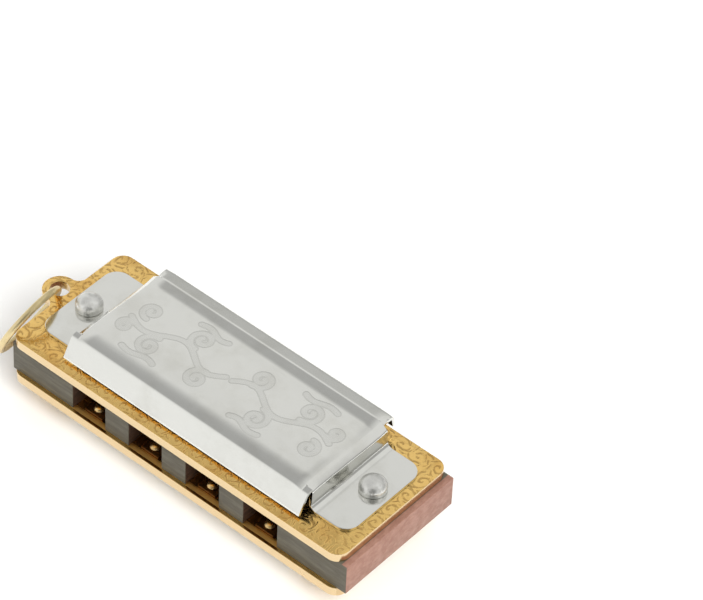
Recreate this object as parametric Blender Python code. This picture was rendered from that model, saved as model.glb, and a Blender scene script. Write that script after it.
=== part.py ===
"""Miniature four-hole harmonica: comb, two reed plates, eight reeds, covers, nails and a jump ring.

Metres, +Z up, +X along the instrument, mouth side at -Y. The origin is the middle of the flat face
of the lower cover, on which the instrument lies.
"""
import math

import bmesh
import bpy
from mathutils import Matrix, Vector

MM = 0.001

# Fitting gaps between neighbouring pieces (mm)
FIT = 0.02
HOLE_PLAY = 0.05

# Comb (mm)
COMB_H = 3.0
COMB_LEFT = -17.23
COMB_RIGHT = 17.77
COMB_FRONT = -6.18
COMB_BACK = 6.40
CHAMBER_PITCH = 6.0
CHAMBER_W = 3.5
CHAMBER_END = 5.5
CHAMBER_COUNT = 4

# Reed plates (mm)
PLATE_L = 34.46
PLATE_W = 12.98
PLATE_T = 0.83
PLATE_CORNER_R = 1.1
EAR_REACH = 0.75
EAR_R = 1.45
EAR_HOLE_R = 0.82
EAR_FILLET = 0.8

# Reeds, their slots and rivets (mm)
REED_W = 1.80
REED_T = 0.18
REED_LENGTHS = (8.4, 7.9, 7.4, 6.9)
REED_GAP = 0.05
PAD_L = 1.5
SLOT_CLEAR = 0.06
SLOT_END_CLEAR = 0.15
BLOW_ROOT_Y = -4.15
DRAW_ROOT_Y = 4.0
RIVET_SHANK_R = 0.34
RIVET_HEAD_R = 0.50
RIVET_HEAD_H = 0.34
RIVET_TAIL_R = 0.46
RIVET_TAIL_H = 0.12

# Cover plates (mm); y values are from the cover's own middle
SHEET = 0.25
COVER_H = 2.30
COVER_SHIFT_Y = 0.15
TOP_HALF_L = 11.6
STRIP_HALF_W = 4.13
TAB_HALF_W = 4.50
SLIT = 0.08
FLANGE_HALF_L = 12.3
SHOULDER_Y = -4.74
SHOULDER_R = 0.8
FLANGE_END = (-5.72, 0.30)
CREST_Y = 4.78
LIP_Y, LIP_DROP = 5.86, 0.17
LIP_END = (6.04, 1.00)
CREST_R = 1.2
LIP_R = 0.31
WALL_TOP_X, WALL_FOOT_X = 12.15, 12.50
WALL_TOP_R, WALL_FOOT_R = 0.50, 0.42
TAB_END_X = 16.2
TAB_CORNER_R = 1.3
TAB_CELL_IN_X = 13.9
TAB_ROUND_DEG = (30.0, 45.0, 60.0, 75.0, 90.0)
HOLE_ROWS = (-0.85, 1.0)
ARC_STEPS = 5

# Cover nails (mm)
NAIL_POINTS = {"left": (-14.64, -0.14), "right": (14.58, 0.48)}
NAIL_HEAD_R = 1.15
NAIL_SEAT_R = 1.08
NAIL_HEAD_H = 1.10
NAIL_RIM_H = 0.60
NAIL_SHANK_R = 0.40
NAIL_IN_COMB = 1.15
NAIL_TIP_L = 0.35

# Jump ring (mm, degrees)
RING_R = 3.30
WIRE_R = 0.29
RING_SPLIT_DEG = 2.5
RING_NORMAL = (0.887, 0.184, -0.409)
RING_YAW_DEG = -6.5
RING_GRIP_DEG = 10.0
RING_SEAT = (-0.20, -0.15, -0.15)
RING_SPLIT_AT_DEG = 150.0
RING_STEPS = 44
WIRE_SIDES = 12

ROUND_STEPS = 24
SMALL_STEPS = 16
DOME_STEPS = 6
MERGE_DIST = 1e-5
SHARP_DEG = 35.0
MIN_MITRE_COS = 0.5

# Heights of the stack (mm), from the resting face upward
Z_LOW_PLATE = COVER_H + FIT
Z_COMB = Z_LOW_PLATE + PLATE_T + FIT
Z_UP_PLATE = Z_COMB + COMB_H + FIT
Z_UP_COVER = Z_UP_PLATE + PLATE_T + FIT
NAIL_HOLE_R = NAIL_SHANK_R + HOLE_PLAY
RIVET_HOLE_R = RIVET_SHANK_R + HOLE_PLAY
PLATE_LEFT, PLATE_RIGHT = -PLATE_L / 2, PLATE_L / 2
EAR_X = PLATE_LEFT - EAR_REACH
CHAMBER_X = [CHAMBER_PITCH * (i - (CHAMBER_COUNT - 1) / 2) for i in range(CHAMBER_COUNT)]

# Name: base colour, roughness, metallic
FINISHES = {
    "cover_metal": ((0.62, 0.62, 0.59), 0.16, 1.0),
    "plate_brass": ((0.66, 0.42, 0.16), 0.32, 1.0),
    "reed_brass": ((0.70, 0.50, 0.22), 0.28, 1.0),
    "rivet_brass": ((0.78, 0.60, 0.30), 0.25, 1.0),
    "comb_wood": ((0.19, 0.10, 0.06), 0.60, 0.0),
    "nail_steel": ((0.52, 0.52, 0.50), 0.35, 1.0),
    "ring_brass": ((0.66, 0.54, 0.28), 0.24, 1.0),
}


def clear_scene():
    """Remove every object and mesh of the starting scene."""
    for item in list(bpy.data.objects):
        bpy.data.objects.remove(item, do_unlink=True)
    for mesh in list(bpy.data.meshes):
        bpy.data.meshes.remove(mesh)


def make_finish(name):
    """Make the Principled material of one finish."""
    colour, roughness, metallic = FINISHES[name]
    material = bpy.data.materials.new(name)
    material.use_nodes = True
    shader = material.node_tree.nodes["Principled BSDF"]
    shader.inputs["Base Color"].default_value = (*colour, 1.0)
    shader.inputs["Roughness"].default_value = roughness
    shader.inputs["Metallic"].default_value = metallic
    material.diffuse_color = (*colour, 1.0)
    return material


def add_part(name, bm, finish, at=(0.0, 0.0, 0.0), turn=None, smooth=True):
    """Turn a bmesh drawn in millimetres into a named object placed at a point in millimetres."""
    if turn is not None:
        bmesh.ops.transform(bm, matrix=turn, verts=bm.verts)
    bmesh.ops.scale(bm, vec=(MM, MM, MM), verts=bm.verts)
    bmesh.ops.recalc_face_normals(bm, faces=bm.faces)
    mesh = bpy.data.meshes.new(name)
    bm.to_mesh(mesh)
    bm.free()
    if smooth:
        mesh.shade_smooth()
        mesh.set_sharp_from_angle(angle=math.radians(SHARP_DEG))
    mesh.materials.append(finish)
    part = bpy.data.objects.new(name, mesh)
    part.location = Vector(at) * MM
    bpy.context.scene.collection.objects.link(part)
    return part


def add_pivot(name, at):
    """Place an empty on a joint's axis."""
    pivot = bpy.data.objects.new(name, None)
    pivot.empty_display_size = MM
    pivot.location = Vector(at) * MM
    bpy.context.scene.collection.objects.link(pivot)
    return pivot


def arc_points(centre, radius, start_deg, end_deg, steps):
    """Points on an arc, both ends included."""
    angles = [math.radians(start_deg + (end_deg - start_deg) * k / steps) for k in range(steps + 1)]
    return [(centre[0] + radius * math.cos(a), centre[1] + radius * math.sin(a)) for a in angles]


def circle_points(centre, radius, steps):
    """Points around a full circle."""
    return arc_points(centre, radius, 0.0, 360.0, steps)[:-1]


def box_points(x0, x1, y0, y1):
    """The corners of a rectangle."""
    return [(x0, y0), (x1, y0), (x1, y1), (x0, y1)]


def prism(outline, holes, z0, z1):
    """Extrude an outline with holes between two heights."""
    bm = bmesh.new()
    edges = []
    for loop in [outline, *holes]:
        verts = [bm.verts.new((x, y, z0)) for x, y in loop]
        edges += [bm.edges.new((verts[k - 1], verts[k])) for k in range(len(verts))]
    bmesh.ops.triangle_fill(bm, use_beauty=True, use_dissolve=False, edges=edges)
    grown = bmesh.ops.extrude_face_region(bm, geom=bm.faces[:])
    top = [item for item in grown["geom"] if isinstance(item, bmesh.types.BMVert)]
    bmesh.ops.translate(bm, vec=(0.0, 0.0, z1 - z0), verts=top)
    return bm


def turned(profile, steps):
    """Spin a profile of (radius, height) points, both ends on the axis, about Z."""
    bm = bmesh.new()
    verts = [bm.verts.new((r, 0.0, z)) for r, z in profile]
    edges = [bm.edges.new(pair) for pair in zip(verts, verts[1:])]
    bmesh.ops.spin(bm, geom=verts + edges, cent=(0, 0, 0), axis=(0, 0, 1), angle=math.tau, steps=steps,
                   use_merge=True)
    bmesh.ops.remove_doubles(bm, verts=bm.verts, dist=MERGE_DIST)
    return bm


def filleted(points, radii):
    """Round the inner corners of an open path; radii holds one value per inner corner."""
    path = [Vector(points[0])]
    for before, corner, after, radius in zip(points, points[1:], points[2:], radii):
        corner = Vector(corner)
        inward = (Vector(before) - corner).normalized()
        outward = (Vector(after) - corner).normalized()
        half = inward.angle(outward) / 2
        reach = radius / math.tan(half)
        centre = corner + (inward + outward).normalized() * (radius / math.sin(half))
        start = corner + inward * reach - centre
        end = corner + outward * reach - centre
        first = math.atan2(start.y, start.x)
        sweep = math.remainder(math.atan2(end.y, end.x) - first, math.tau)
        for k in range(ARC_STEPS + 1):
            angle = first + sweep * k / ARC_STEPS
            path.append(centre + Vector((math.cos(angle), math.sin(angle))) * radius)
    path.append(Vector(points[-1]))
    return path


def path_normals(path, up_sign):
    """Unit normals of a path, on the side that up_sign picks, lengthened at corners."""
    normals = []
    for k, point in enumerate(path):
        ahead = (path[k + 1] - point).normalized() if k + 1 < len(path) else None
        behind = (point - path[k - 1]).normalized() if k else None
        if ahead is None or behind is None:
            along = ahead or behind
            normals.append(Vector((-along.y, along.x)) * up_sign)
            continue
        mean = (ahead + behind).normalized()
        normals.append(Vector((-mean.y, mean.x)) * up_sign / max(mean.dot(ahead), MIN_MITRE_COS))
    return normals


def end_strip_path():
    """Path of one end of the cover in (x, z): top, end wall, then the nailing tab."""
    points = [(TOP_HALF_L, COVER_H), (WALL_TOP_X, COVER_H), (WALL_FOOT_X, SHEET), (TAB_CELL_IN_X, SHEET)]
    path = filleted(points, [WALL_TOP_R, WALL_FOOT_R])
    round_from = TAB_END_X - TAB_CORNER_R
    for angle in TAB_ROUND_DEG:
        path.append(Vector((round_from + TAB_CORNER_R * math.sin(math.radians(angle)), SHEET)))
    return path


def strip_half_width(x):
    """Half the width of the end strip at a distance x along the instrument."""
    if x <= WALL_TOP_X:
        return STRIP_HALF_W
    if x < WALL_FOOT_X:
        return STRIP_HALF_W + (TAB_HALF_W - STRIP_HALF_W) * (x - WALL_TOP_X) / (WALL_FOOT_X - WALL_TOP_X)
    past = x - (TAB_END_X - TAB_CORNER_R)
    if past <= 0.0:
        return TAB_HALF_W
    return TAB_HALF_W - TAB_CORNER_R + math.sqrt(max(TAB_CORNER_R ** 2 - past ** 2, 0.0))


def front_path():
    """Path of the front shoulder and flange in (y, z), outward from the flat top."""
    points = [(-STRIP_HALF_W - SLIT, COVER_H), (SHOULDER_Y, COVER_H), FLANGE_END]
    return filleted(points, [SHOULDER_R])


def rear_path():
    """Path of the rear lip in (y, z): a slight fall past the crest, then the turned-down edge."""
    points = [(STRIP_HALF_W + SLIT, COVER_H), (CREST_Y, COVER_H), (LIP_Y, COVER_H - LIP_DROP), LIP_END]
    return filleted(points, [CREST_R, LIP_R])


class Sheet:
    """A sheet-metal blank gathered as cells, each corner holding its outer and inner point."""

    def __init__(self):
        self.bm = bmesh.new()
        self.pairs = {}
        self.cells = []

    def corner(self, key, point, normal):
        """Add a blank corner with its outer point and the unit way out of the sheet."""
        if key not in self.pairs:
            point, normal = Vector(point), Vector(normal)
            self.pairs[key] = (self.bm.verts.new(point), self.bm.verts.new(point - normal * SHEET))
        return key

    def cell(self, keys):
        """Fill a cell between its corners."""
        self.cells.append(keys)

    def holed_cell(self, keys, centre, radius, z_outer):
        """Fill a flat four-cornered cell around a round hole, corners and hole both anticlockwise."""
        quarter = SMALL_STEPS // 4
        first_deg = 225.0
        ring = []
        for k, (x, y) in enumerate(arc_points(centre, radius, first_deg, first_deg + 360.0, SMALL_STEPS)[:-1]):
            ring.append(self.corner(("hole", round(centre[0]), k), (x, y, z_outer), (0, 0, 1)))
        for side in range(4):
            first = side * quarter
            inner = [ring[(first + k) % SMALL_STEPS] for k in range(quarter, -1, -1)]
            self.cells.append([keys[side], keys[(side + 1) % 4], *inner])

    def build(self):
        """Skin both faces and close every free edge."""
        used = {}
        for keys in self.cells:
            self.bm.faces.new([self.pairs[k][0] for k in keys])
            self.bm.faces.new([self.pairs[k][1] for k in reversed(keys)])
            for a, b in zip(keys, keys[1:] + keys[:1]):
                used[(a, b)] = used.get((a, b), 0) + 1
        for a, b in used:
            if (b, a) not in used:
                outer_a, inner_a = self.pairs[a]
                outer_b, inner_b = self.pairs[b]
                self.bm.faces.new((outer_b, outer_a, inner_a, inner_b))
        return self.bm


def cover_blank(nail_points):
    """Model one stamped cover, open face down, middle of its plan at the origin.

    nail_points holds the two nail holes' middles, left then right, in the cover's own plan.
    """
    sheet = Sheet()
    strip_rows = [-STRIP_HALF_W, *HOLE_ROWS, STRIP_HALF_W]
    columns = [-TOP_HALF_L, TOP_HALF_L]

    def top_key(x, row):
        return sheet.corner(("top", x, row), (x, strip_rows[row], COVER_H), (0, 0, 1))

    for row in range(len(strip_rows) - 1):
        sheet.cell([top_key(columns[0], row), top_key(columns[1], row),
                    top_key(columns[1], row + 1), top_key(columns[0], row + 1)])

    end_path = end_strip_path()
    end_normals = path_normals(end_path, 1.0)
    hole_step = 1 + 2 * (ARC_STEPS + 1)
    for side, nail_point in zip((-1, 1), nail_points):
        def strip_key(step, row, side=side):
            if step == 0:
                return top_key(side * TOP_HALF_L, row)
            x, z = end_path[step]
            y = strip_rows[row]
            if row in (0, len(strip_rows) - 1):
                y = math.copysign(strip_half_width(x), y)
            normal = (side * end_normals[step].x, 0, end_normals[step].y)
            return sheet.corner(("end", side, step, row), (side * x, y, z), normal)

        for step in range(len(end_path) - 1):
            for row in range(len(strip_rows) - 1):
                near, far = (step, step + 1) if side > 0 else (step + 1, step)
                keys = [strip_key(near, row), strip_key(far, row),
                        strip_key(far, row + 1), strip_key(near, row + 1)]
                if step == hole_step and row == 1:
                    sheet.holed_cell(keys, nail_point, NAIL_HOLE_R, SHEET)
                else:
                    sheet.cell(keys)

    for name, path, up_sign, first_row in (("front", front_path(), -1.0, 0),
                                           ("rear", rear_path(), 1.0, len(strip_rows) - 1)):
        normals = path_normals(path, up_sign)
        long_columns = [-FLANGE_HALF_L, -TOP_HALF_L, TOP_HALF_L, FLANGE_HALF_L]

        def fold_key(column, step, name=name, path=path, normals=normals, first_row=first_row):
            if step < 0:
                return top_key(long_columns[column], first_row)
            y, z = path[step]
            return sheet.corner((name, column, step), (long_columns[column], y, z),
                                (0, normals[step].x, normals[step].y))

        for step in range(-1, len(path) - 1):
            for column in range(3):
                if step < 0 and column != 1:
                    continue
                low, high = (step + 1, step) if name == "front" else (step, step + 1)
                sheet.cell([fold_key(column, low), fold_key(column + 1, low),
                            fold_key(column + 1, high), fold_key(column, high)])
    return sheet.build()


def comb_outline():
    """Outline of the comb, its chambers opening at the mouth side."""
    points = [(COMB_LEFT, COMB_FRONT)]
    for x in CHAMBER_X:
        left, right = x - CHAMBER_W / 2, x + CHAMBER_W / 2
        points += [(left, COMB_FRONT), (left, CHAMBER_END), (right, CHAMBER_END), (right, COMB_FRONT)]
    points += [(COMB_RIGHT, COMB_FRONT), (COMB_RIGHT, COMB_BACK), (COMB_LEFT, COMB_BACK)]
    return points


def plate_outline(with_ear):
    """Rounded outline of a reed plate, with the pierced ear at the left end if asked."""
    x0, x1, half = PLATE_LEFT, PLATE_RIGHT, PLATE_W / 2
    r = PLATE_CORNER_R
    points = []
    for centre, start in (((x0 + r, -half + r), 180.0), ((x1 - r, -half + r), 270.0),
                          ((x1 - r, half - r), 0.0), ((x0 + r, half - r), 90.0)):
        points += arc_points(centre, r, start, start + 90.0, ARC_STEPS)
    if with_ear:
        spread = math.sqrt((EAR_R + EAR_FILLET) ** 2 - (EAR_REACH - EAR_FILLET) ** 2)
        upper, lower = (x0 - EAR_FILLET, spread), (x0 - EAR_FILLET, -spread)
        lean = math.degrees(math.atan2(spread, EAR_REACH - EAR_FILLET))
        points += arc_points(upper, EAR_FILLET, 0.0, lean - 180.0, ARC_STEPS)
        points += arc_points((EAR_X, 0.0), EAR_R, lean, 360.0 - lean, ROUND_STEPS)[1:-1]
        points += arc_points(lower, EAR_FILLET, 180.0 - lean, 0.0, ARC_STEPS)
    return points


def nail_holes():
    """The two nail holes shared by plates and comb."""
    return [circle_points(point, NAIL_HOLE_R, SMALL_STEPS) for point in NAIL_POINTS.values()]


def reed_plate(root_y, towards, with_ear):
    """Model a reed plate with one slot and one rivet hole for each reed."""
    holes = nail_holes()
    for x, length in zip(CHAMBER_X, REED_LENGTHS):
        half = REED_W / 2 + SLOT_CLEAR
        ends = sorted((root_y, root_y + towards * (length + REED_GAP + SLOT_END_CLEAR)))
        holes.append(box_points(x - half, x + half, *ends))
        holes.append(circle_points((x, root_y - towards * PAD_L / 2), RIVET_HOLE_R, SMALL_STEPS))
    if with_ear:
        holes.append(circle_points((EAR_X, 0.0), EAR_HOLE_R, ROUND_STEPS))
    return prism(plate_outline(with_ear), holes, 0.0, PLATE_T)


def dome_points(radius, base, height):
    """Points of a dome's profile, from its rim to just short of its top."""
    angles = [math.pi / 2 * k / DOME_STEPS for k in range(DOME_STEPS)]
    return [(radius * math.cos(a), base + height * math.sin(a)) for a in angles]


def rivet():
    """Model a reed rivet: domed head up, shank through pad and plate, flat tail below."""
    through = REED_T + PLATE_T + 2 * FIT
    dome = dome_points(RIVET_HEAD_R, FIT, RIVET_HEAD_H)
    tail = -through - RIVET_TAIL_H
    profile = [(0.0, FIT + RIVET_HEAD_H), *reversed(dome), (RIVET_SHANK_R, FIT), (RIVET_SHANK_R, -through),
               (RIVET_TAIL_R, -through), (RIVET_TAIL_R, tail), (0.0, tail)]
    return turned(profile, SMALL_STEPS)


def nail():
    """Model a cover nail: tall head with a domed top above z = 0, pointed shank below."""
    dome = dome_points(NAIL_HEAD_R, NAIL_RIM_H, NAIL_HEAD_H - NAIL_RIM_H)
    depth = SHEET + PLATE_T + NAIL_IN_COMB + 2 * FIT
    profile = [(0.0, NAIL_HEAD_H), *reversed(dome), (NAIL_SEAT_R, 0.0), (NAIL_SHANK_R, 0.0),
               (NAIL_SHANK_R, NAIL_TIP_L - depth), (0.0, -depth)]
    return turned(profile, ROUND_STEPS)


def jump_ring():
    """Model the split ring, drawn about the middle of the ear's hole."""
    normal = Matrix.Rotation(math.radians(RING_YAW_DEG), 3, "Z") @ Vector(RING_NORMAL).normalized()
    upright = (Vector((0, 0, 1)) - normal * normal.z).normalized()
    sideways = upright.cross(normal)
    if sideways.y > 0:
        sideways = -sideways
    grip = math.radians(RING_GRIP_DEG)
    to_centre = sideways * math.cos(grip) - upright * math.sin(grip)
    along = normal.cross(to_centre)
    bm = bmesh.new()
    wire = circle_points((RING_R, 0.0), WIRE_R, WIRE_SIDES)
    verts = [bm.verts.new((x, 0.0, z)) for x, z in wire]
    face = bm.faces.new(verts)
    bmesh.ops.spin(bm, geom=[face], cent=(0, 0, 0), axis=(0, 0, 1),
                   angle=math.tau - math.radians(RING_SPLIT_DEG), steps=RING_STEPS)
    split = math.radians(RING_SPLIT_AT_DEG)
    out_x = -to_centre * math.cos(split) + along * math.sin(split)
    out_y = normal.cross(out_x)
    turn = Matrix((out_x, out_y, normal)).transposed().to_4x4()
    centre = Vector(RING_SEAT) + to_centre * RING_R
    bmesh.ops.transform(bm, matrix=Matrix.Translation(centre) @ turn, verts=bm.verts)
    return bm


def flip_x():
    """Half a turn about the X axis."""
    return Matrix.Rotation(math.pi, 4, "X")


def flip_y():
    """Half a turn about the Y axis."""
    return Matrix.Rotation(math.pi, 4, "Y")


def build_reed(label, number, root, towards, length, finishes):
    """Make one reed: riveted pad, free tongue on its pivot, and rivet.

    root is the middle of the reed's root line on the plate's face; towards is +1 when the tongue
    points to the back.
    """
    x, y, z = root
    lift = FIT + REED_T / 2
    half = REED_W / 2
    pad_ends = sorted((0.0, -towards * PAD_L))
    pad_hole = circle_points((0.0, -towards * PAD_L / 2), RIVET_HOLE_R, SMALL_STEPS)
    pad = prism(box_points(-half, half, *pad_ends), [pad_hole], -REED_T / 2, REED_T / 2)
    add_part(f"{label}_reed_{number}_pad", pad, finishes["reed_brass"], (x, y, z + lift), smooth=False)

    pivot = add_pivot(f"{label}_reed_{number}_pivot", (x, y, z + lift))
    tongue_ends = sorted((towards * REED_GAP, towards * (REED_GAP + length)))
    tongue = prism(box_points(-half, half, *tongue_ends), [], -REED_T / 2, REED_T / 2)
    part = add_part(f"{label}_reed_{number}_tongue", tongue, finishes["reed_brass"], smooth=False)
    part.parent = pivot

    head_z = z + FIT + REED_T
    add_part(f"{label}_rivet_{number}", rivet(), finishes["rivet_brass"], (x, y - towards * PAD_L / 2, head_z))


def main():
    """Build every piece of the instrument."""
    clear_scene()
    finishes = {name: make_finish(name) for name in FINISHES}

    comb = prism(comb_outline(), nail_holes(), 0.0, COMB_H)
    add_part("comb", comb, finishes["comb_wood"], (0, 0, Z_COMB), smooth=False)

    add_part("lower_reed_plate", reed_plate(BLOW_ROOT_Y, 1, False), finishes["plate_brass"],
             (0, 0, Z_LOW_PLATE))
    add_part("upper_reed_plate", reed_plate(DRAW_ROOT_Y, -1, True), finishes["plate_brass"],
             (0, 0, Z_UP_PLATE))

    for number, (x, length) in enumerate(zip(CHAMBER_X, REED_LENGTHS), start=1):
        build_reed("blow", number, (x, BLOW_ROOT_Y, Z_LOW_PLATE + PLATE_T), 1, length, finishes)
        build_reed("draw", number, (x, DRAW_ROOT_Y, Z_UP_PLATE + PLATE_T), -1, length, finishes)

    upper = [(x, y - COVER_SHIFT_Y) for x, y in NAIL_POINTS.values()]
    lower = [(-x, y) for x, y in reversed(upper)]
    add_part("upper_cover", cover_blank(upper), finishes["cover_metal"], (0, COVER_SHIFT_Y, Z_UP_COVER))
    add_part("lower_cover", cover_blank(lower), finishes["cover_metal"], (0, COVER_SHIFT_Y, COVER_H),
             turn=flip_y())

    for side, (x, y) in NAIL_POINTS.items():
        add_part(f"upper_nail_{side}", nail(), finishes["nail_steel"], (x, y, Z_UP_COVER + SHEET + FIT))
        add_part(f"lower_nail_{side}", nail(), finishes["nail_steel"], (x, y, COVER_H - SHEET - FIT),
                 turn=flip_x())

    ear = (EAR_X, 0.0, Z_UP_PLATE + PLATE_T / 2)
    swivel = add_pivot("ring_swivel", ear)
    add_part("jump_ring", jump_ring(), finishes["ring_brass"]).parent = swivel


main()
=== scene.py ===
"""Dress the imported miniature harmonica: stamped covers, engraved plates, comb, reeds, nails and ring."""
import logging
import math
from dataclasses import dataclass
from enum import Enum
from typing import Iterable, Optional, Sequence, Union

import bmesh
import bpy
import numpy as np
from mathutils import Matrix, Vector, noise


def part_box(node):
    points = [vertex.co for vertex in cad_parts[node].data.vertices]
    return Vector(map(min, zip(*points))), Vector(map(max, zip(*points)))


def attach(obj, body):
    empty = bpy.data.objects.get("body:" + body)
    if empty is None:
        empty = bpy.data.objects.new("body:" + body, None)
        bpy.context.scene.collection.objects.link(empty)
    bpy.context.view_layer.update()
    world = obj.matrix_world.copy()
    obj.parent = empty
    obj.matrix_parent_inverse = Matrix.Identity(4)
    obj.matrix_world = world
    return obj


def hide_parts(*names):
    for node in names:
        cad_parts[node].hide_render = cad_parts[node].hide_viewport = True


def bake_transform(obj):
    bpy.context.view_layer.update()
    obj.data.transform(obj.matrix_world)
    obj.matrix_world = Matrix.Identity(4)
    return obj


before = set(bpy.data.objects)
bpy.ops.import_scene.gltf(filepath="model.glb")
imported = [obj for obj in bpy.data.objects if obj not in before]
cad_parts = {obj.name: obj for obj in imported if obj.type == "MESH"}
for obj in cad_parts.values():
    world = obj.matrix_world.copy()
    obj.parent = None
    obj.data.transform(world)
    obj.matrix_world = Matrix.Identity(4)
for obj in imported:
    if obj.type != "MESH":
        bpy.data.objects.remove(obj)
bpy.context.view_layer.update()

MM = 0.001
SHARP_RIM = math.radians(50.0)
MIX_FACTOR, MIX_FIRST, MIX_SECOND, MIX_COLOUR = 0, 6, 7, 2
LOG = logging.getLogger("harmonica")
Socket = bpy.types.NodeSocket
Value = Union[float, Socket]
Colour = tuple[float, float, float, float]
Point2 = tuple[float, float]


class Level(Enum):
    """Which half of the instrument a piece belongs to."""

    UPPER = "upper"
    LOWER = "lower"


class Side(Enum):
    """Which end of the instrument a piece sits at."""

    LEFT = -1
    RIGHT = 1


class ReedBank(Enum):
    """The two sets of reeds."""

    BLOW = "blow"
    DRAW = "draw"


# ---------------------------------------------------------------------------------------------
# Shader building
# ---------------------------------------------------------------------------------------------


class NodeBoard:
    """Places and links shader nodes in one node tree."""

    def __init__(self, tree: bpy.types.NodeTree) -> None:
        """Take the tree to work on: a material's, a world's or a group's."""
        self.tree = tree

    def feed(self, target: Socket, value: object) -> None:
        """Link a socket or set a value.

        Args:
            target: The input socket.
            value: A socket to link from, or a plain value.
        """
        if isinstance(value, bpy.types.NodeSocket):
            self.tree.links.new(value, target)
        else:
            target.default_value = value

    def add(self, kind: str, fed: Optional[dict] = None, **settings: object) -> bpy.types.Node:
        """Add a node.

        Args:
            kind: The node's type name.
            fed: What its inputs get, by their names or numbers.
            **settings: Node properties to set.

        Returns:
            The new node.
        """
        node = self.tree.nodes.new(kind)
        for name, value in settings.items():
            setattr(node, name, value)
        for name, value in (fed or {}).items():
            self.feed(node.inputs[name], value)
        return node

    def math(self, operation: str, a: Value, b: Value = 0.0, clamp: bool = False) -> Socket:
        """Add a Math node of one or two values, its result held to 0..1 if clamp is set."""
        return self.add("ShaderNodeMath", {0: a, 1: b}, operation=operation, use_clamp=clamp).outputs[0]

    def plus(self, a: Value, b: Value) -> Socket:
        """Add two values."""
        return self.math("ADD", a, b)

    def less(self, a: Value, b: Value) -> Socket:
        """Take the second value from the first."""
        return self.math("SUBTRACT", a, b)

    def times(self, a: Value, b: Value, clamp: bool = False) -> Socket:
        """Multiply two values."""
        return self.math("MULTIPLY", a, b, clamp)

    def most(self, a: Value, b: Value) -> Socket:
        """Give the larger of two values."""
        return self.math("MAXIMUM", a, b)

    def total(self, base: Value, *terms: tuple[Socket, float]) -> Socket:
        """Add shares of some values to a first one.

        Args:
            base: The value to start from.
            *terms: The other values, each with its share.

        Returns:
            The sum's socket.
        """
        for value, share in terms:
            base = self.plus(self.times(value, share), base)
        return base

    def vectors(self, operation: str, a: object, b: object) -> Socket:
        """Add a Vector Math node of two vectors."""
        return self.add("ShaderNodeVectorMath", {0: a, 1: b}, operation=operation).outputs[0]

    def scaled(self, vector: Socket, scale: Value) -> Socket:
        """Scale a vector evenly."""
        return self.add("ShaderNodeVectorMath", {0: vector, "Scale": scale}, operation="SCALE").outputs[0]

    def split(self, vector: Socket) -> tuple[Socket, ...]:
        """Give a vector's X, Y and Z."""
        return tuple(self.add("ShaderNodeSeparateXYZ", {0: vector}).outputs)

    def along(self, vector: Socket, towards: Sequence[float]) -> Socket:
        """Give the cosine of the angle between a unit vector and a direction."""
        fed = {0: vector, 1: Vector(towards).normalized()}
        return self.add("ShaderNodeVectorMath", fed, operation="DOT_PRODUCT").outputs["Value"]

    def noise(self, vector: Socket, scale: float, detail: float = 3.0, roughness: float = 0.55) -> Socket:
        """Add a Noise Texture with its scale in cells per metre."""
        fed = {"Vector": vector, "Scale": scale, "Detail": detail, "Roughness": roughness}
        return self.add("ShaderNodeTexNoise", fed).outputs["Fac"]

    def ramp(self, value: Socket, low: float, high: float) -> Socket:
        """Stretch a value smoothly so that low gives 0 and high gives 1."""
        fed = {"Value": value, "From Min": low, "From Max": high}
        return self.add("ShaderNodeMapRange", fed, interpolation_type="SMOOTHSTEP").outputs["Result"]

    def band(self, value: Socket, rise: Point2, fall: Point2) -> Socket:
        """Mask a band of a value, with the low and high end of the ramp at each of its edges."""
        return self.times(self.ramp(value, *rise), self.ramp(value, *fall))

    def mix(self, factor: Value, first: object, second: object) -> Socket:
        """Mix two colours by the share of the second one."""
        fed = {MIX_FACTOR: factor, MIX_FIRST: first, MIX_SECOND: second}
        return self.add("ShaderNodeMix", fed, data_type="RGBA").outputs[MIX_COLOUR]

    def stretched(self, vector: Socket, scale: Sequence[float], turn: float = 0.0) -> Socket:
        """Scale coordinates along X, Y and Z and turn them about Z (radians)."""
        fed = {"Vector": vector, "Scale": tuple(scale), "Rotation": (0.0, 0.0, turn)}
        return self.add("ShaderNodeMapping", fed).outputs["Vector"]


def rgba(*screen: float) -> Colour:
    """Turn a screen colour of 0..255 into a linear colour.

    Args:
        *screen: Red, green and blue, 0..255.

    Returns:
        Linear red, green, blue and an alpha of 1.
    """
    shares = [value / 255.0 for value in screen]
    red, green, blue = (v / 12.92 if v <= 0.04045 else ((v + 0.055) / 1.055) ** 2.4 for v in shares)
    return red, green, blue, 1.0


class EffectGroup(NodeBoard):
    """A shader node group that takes a Vector and some values and puts out masks."""

    def __init__(self, name: str, values: dict[str, float], masks: Sequence[str]) -> None:
        """Start the group.

        Args:
            name: The group's name.
            values: Its value inputs with their defaults.
            masks: The names of its outputs.
        """
        super().__init__(bpy.data.node_groups.new(name, "ShaderNodeTree"))
        new_socket = self.tree.interface.new_socket
        new_socket("Vector", in_out="INPUT", socket_type="NodeSocketVector")
        for label, default in values.items():
            new_socket(label, in_out="INPUT", socket_type="NodeSocketFloat").default_value = default
        for label in masks:
            new_socket(label, in_out="OUTPUT", socket_type="NodeSocketFloat")
        self.given = self.add("NodeGroupInput").outputs
        self.out = self.add("NodeGroupOutput").inputs

    def put(self, label: str, mask: Socket, share: Socket) -> None:
        """Put a share of a mask out, held to 0..1."""
        self.feed(self.out[label], self.times(mask, share, clamp=True))


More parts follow.
